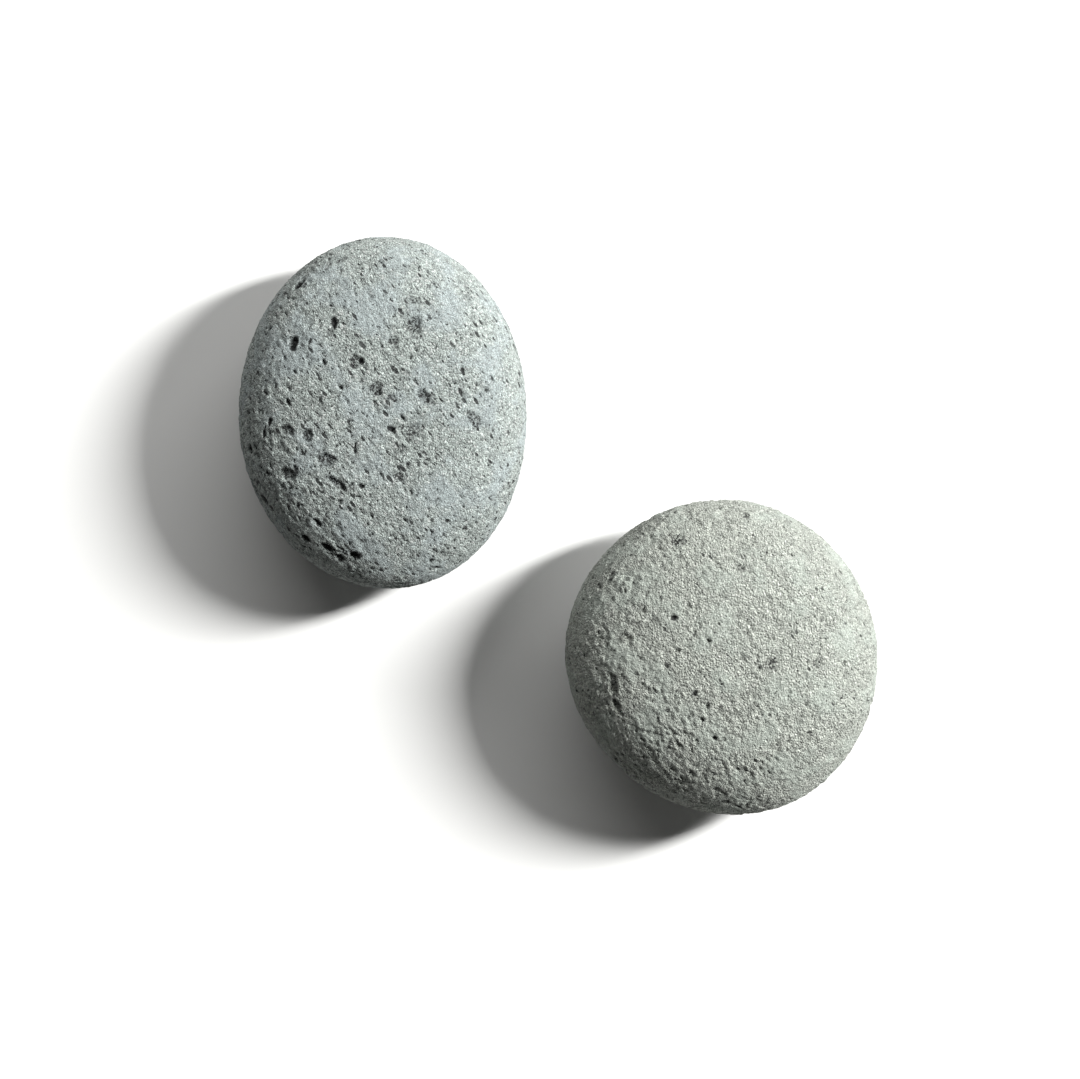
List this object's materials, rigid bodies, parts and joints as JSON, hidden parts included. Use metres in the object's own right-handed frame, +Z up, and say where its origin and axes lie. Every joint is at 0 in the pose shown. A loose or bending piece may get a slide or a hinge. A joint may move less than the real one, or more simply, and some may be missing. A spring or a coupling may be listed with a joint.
{
  "type": "basalt massage stone",
  "caption": "Smooth natural basalt stones for hot or cold stone massage: a flattened oval pebble lying loose beside a rounder, finer-grained pebble.",
  "frame": {"origin": "on the resting surface, under the middle of the bounding box of both stones", "axes": "+Z up; seen from above, +X runs to the right, from the oval stone's side towards the round stone's, and +Y towards the oval stone's end of the pair"},
  "size_m": [0.136, 0.1232, 0.035],
  "materials": {
    "oval_basalt": "dry, matt, bluish grey basalt with many small open pores",
    "round_basalt": "dry, matt, greenish grey basalt with a fine even grain"
  },
  "bodies": {
    "oval_stone": {"oval_stone": "oval_basalt"},
    "round_stone": {"round_stone": "round_basalt"}
  },
  "joints": [
    {"name": "round_stone_lift", "type": "slide", "parent": "oval_stone", "child": "round_stone", "axis": [0, 0, 1], "range_m": [0, 0.08]}
  ]
}
